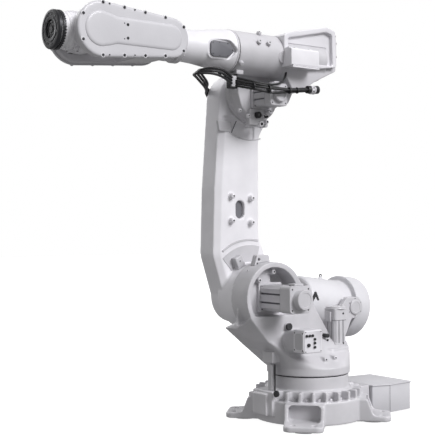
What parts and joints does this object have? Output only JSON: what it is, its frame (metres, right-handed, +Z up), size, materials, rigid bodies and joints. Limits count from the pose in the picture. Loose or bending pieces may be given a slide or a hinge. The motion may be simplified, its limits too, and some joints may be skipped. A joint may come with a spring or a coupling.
{
  "type": "industrial robot arm",
  "caption": "Floor-standing jointed industrial robot arm with turntable base, balanced lower arm, tubular forearm and tilting wrist with a round tool flange.",
  "frame": {"origin": "on the turntable axis, at the floor face under the base's feet", "axes": "+X the way the arm reaches at rest, +Y its left side, +Z up along the turntable axis"},
  "size_m": [2.546, 0.9398, 2.461],
  "materials": {
    "white_paint": "smooth satin paint",
    "cast_paint": "satin paint over a fine cast surface",
    "black_plastic": "moulded, matt",
    "black_rubber": "smooth cable jacket",
    "dark_plate": "fine grained, matt",
    "black_flange": "black oxide",
    "bright_steel": "ground"
  },
  "bodies": {
    "base": {"base_casting": "cast_paint", "connection_box": "white_paint", "connection_box_lid": "white_paint", "turning_stop_post": "cast_paint", "base_plug": "black_plastic"},
    "turret": {"turret_casting": "cast_paint", "shoulder_motor": "cast_paint", "turret_motor": "cast_paint", "brake_release_box": "white_paint", "brake_release_buttons": "black_plastic", "wall_plugs": "black_plastic", "lifting_eye": "cast_paint", "balancer_crossbeam": "cast_paint", "balancer_near_yoke": "cast_paint", "balancer_far_yoke": "cast_paint", "trunnion_caps": "cast_paint"},
    "balancer": {"balancer_cylinder": "cast_paint"},
    "balancer_piston": {"balancer_rod": "bright_steel"},
    "lower_arm": {"lower_arm_casting": "cast_paint", "shoulder_stop_block": "cast_paint", "elbow_stop_lug": "cast_paint", "hose_gland": "cast_paint"},
    "upper_arm": {"upper_arm_housing": "cast_paint", "rear_motor_cover": "white_paint", "barrel_bosses": "cast_paint", "elbow_motor": "cast_paint", "wrist_drive_motor": "cast_paint", "elbow_stop_bracket": "cast_paint", "clamp_bracket": "cast_paint", "cable_clamp": "black_plastic", "barrel_cables": "black_rubber", "cable_plug": "black_plastic", "arm_hoses": "black_rubber"},
    "forearm": {"forearm_tube": "cast_paint", "access_plate": "dark_plate", "wrist_fork": "cast_paint", "near_wrist_cover": "white_paint", "far_wrist_cover": "white_paint"},
    "wrist_tilt": {"tilt_housing": "cast_paint"},
    "flange": {"tool_flange": "black_flange"}
  },
  "joints": [
    {"name": "axis_1_turn", "type": "hinge", "parent": "base", "child": "turret", "pos_m": [0, 0, 0.3], "axis": [0, 0, 1], "range_deg": [-170, 170]},
    {"name": "axis_2_shoulder", "type": "hinge", "parent": "turret", "child": "lower_arm", "pos_m": [0.32, 0, 0.78], "axis": [0, 1, 0], "range_deg": [-65, 85]},
    {"name": "axis_3_elbow", "type": "hinge", "parent": "lower_arm", "child": "upper_arm", "pos_m": [0.32, 0, 2.06], "axis": [0, -1, 0], "range_deg": [-70, 180], "deforming": ["arm_hoses"]},
    {"name": "axis_4_forearm", "type": "hinge", "parent": "upper_arm", "child": "forearm", "pos_m": [0.633, 0, 2.26], "axis": [1, 0, 0], "range_deg": [-300, 300]},
    {"name": "axis_5_wrist", "type": "hinge", "parent": "forearm", "child": "wrist_tilt", "pos_m": [1.585, 0, 2.26], "axis": [0, 1, 0], "range_deg": [-130, 130]},
    {"name": "axis_6_flange", "type": "hinge", "parent": "wrist_tilt", "child": "flange", "pos_m": [1.74, 0, 2.26], "axis": [1, 0, 0], "range_deg": [-360, 360]},
    {"name": "balancer_swing", "type": "hinge", "parent": "turret", "child": "balancer", "pos_m": [-0.47, -0.281, 0.675], "axis": [0, 1, 0], "range_deg": [-14, 14]},
    {"name": "piston_swing", "type": "hinge", "parent": "lower_arm", "child": "balancer_piston", "pos_m": [0.17131, -0.281, 0.76024], "axis": [0, 1, 0], "range_deg": [-100, 100]}
  ],
  "couplings": [
    {"joint": "balancer_swing", "follows": "axis_2_shoulder", "ratio": -0.149},
    {"joint": "piston_swing", "follows": "axis_2_shoulder", "ratio": -1.149}
  ]
}
